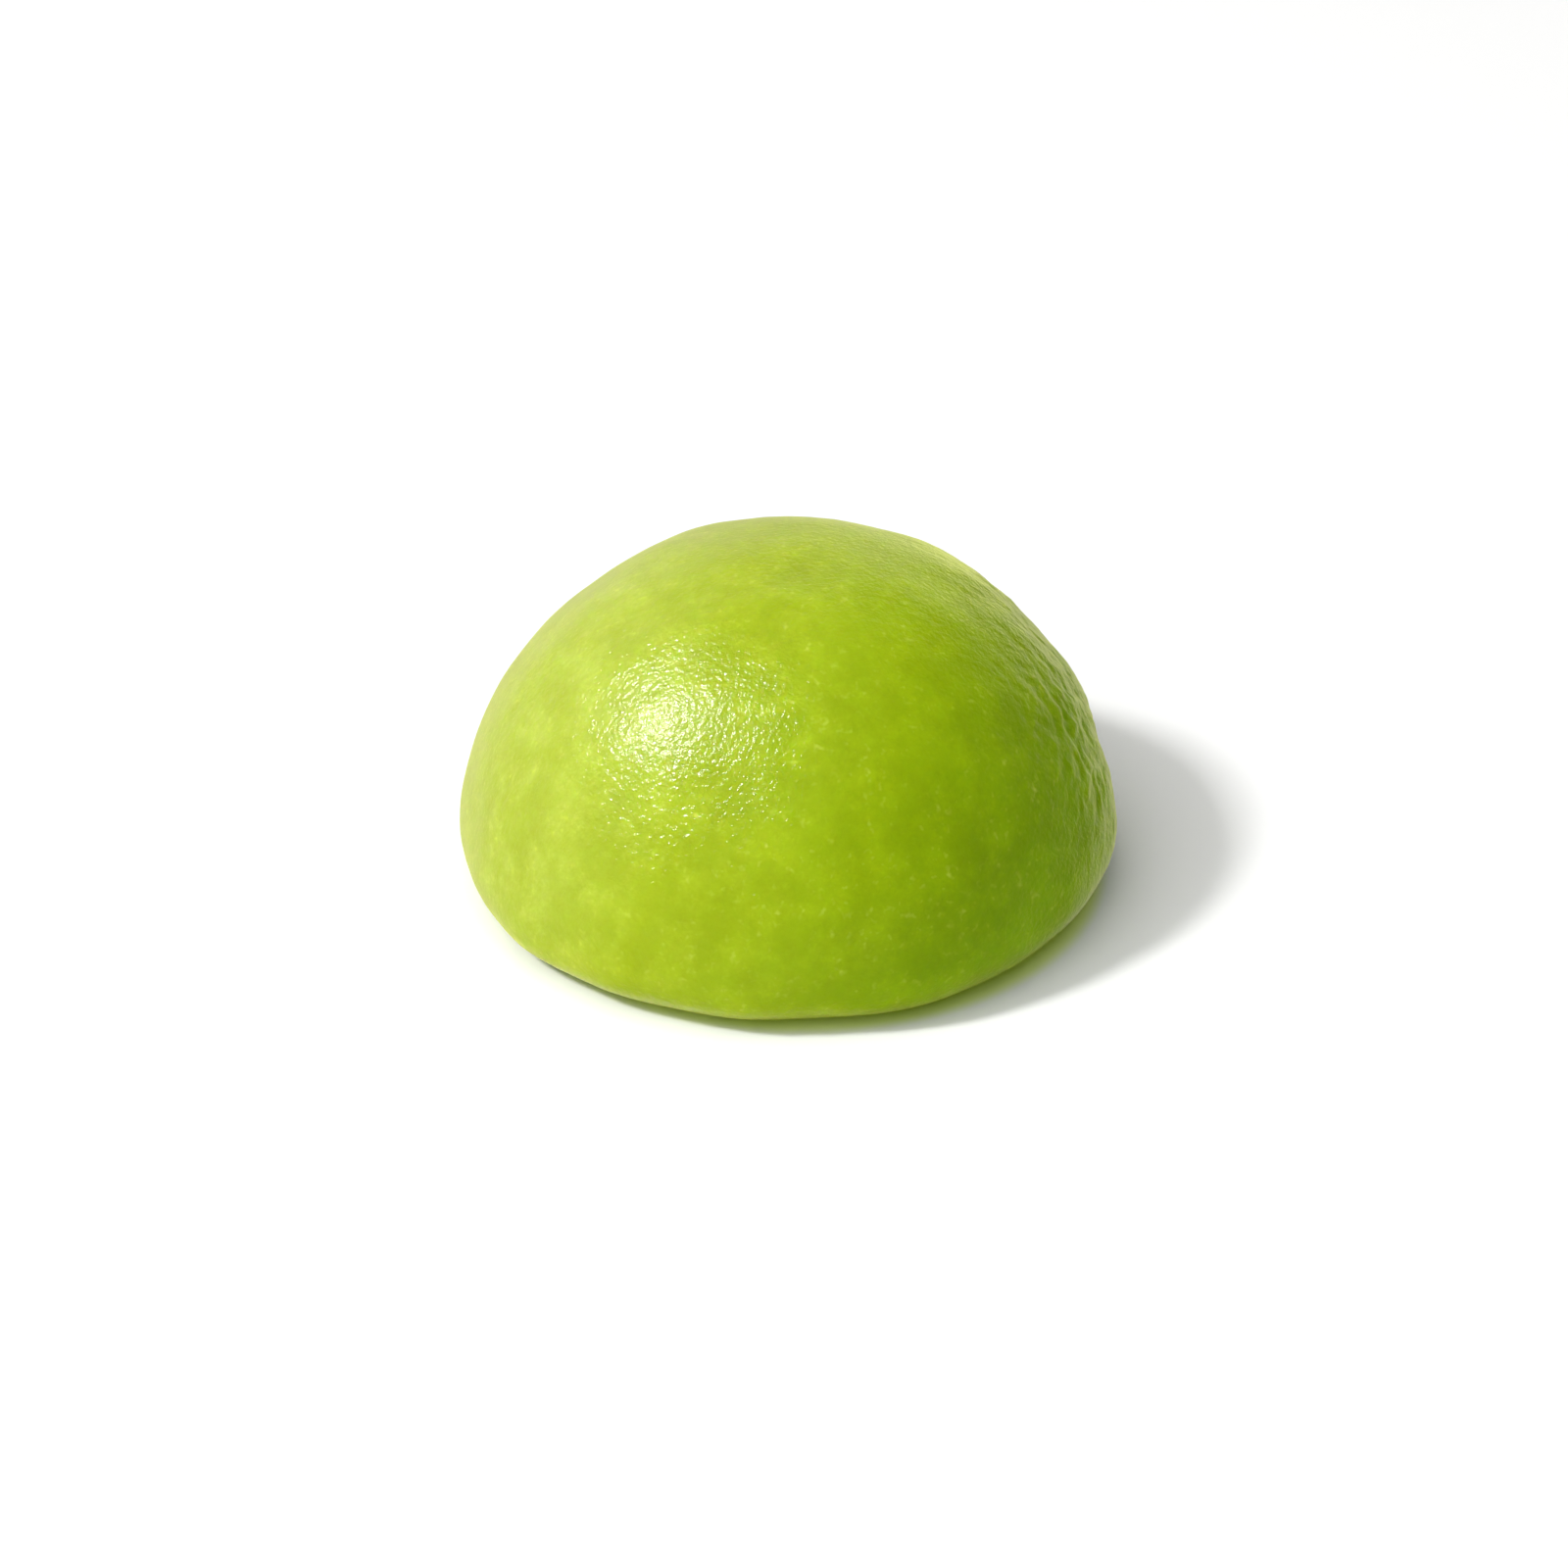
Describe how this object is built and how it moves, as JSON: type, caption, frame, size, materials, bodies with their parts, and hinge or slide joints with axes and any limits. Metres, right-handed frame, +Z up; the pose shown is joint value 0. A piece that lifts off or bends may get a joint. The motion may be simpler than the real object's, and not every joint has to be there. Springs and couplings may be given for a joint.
{
  "type": "mochi rice cake",
  "caption": "Low soft dome of yellow-green sweet rice dough with a moist satin skin, curled under at the foot, resting on its flat underside.",
  "frame": {"origin": "middle of the flat underside, level with the table it rests on", "axes": "+Z up through the crown, -Y towards the front, +X to the right seen from the front"},
  "size_m": [0.0502, 0.05, 0.0265],
  "materials": {
    "dough": "moist satin skin of steamed rice dough, faintly translucent and mottled"
  },
  "bodies": {
    "root": {"mochi": "dough"}
  },
  "joints": []
}
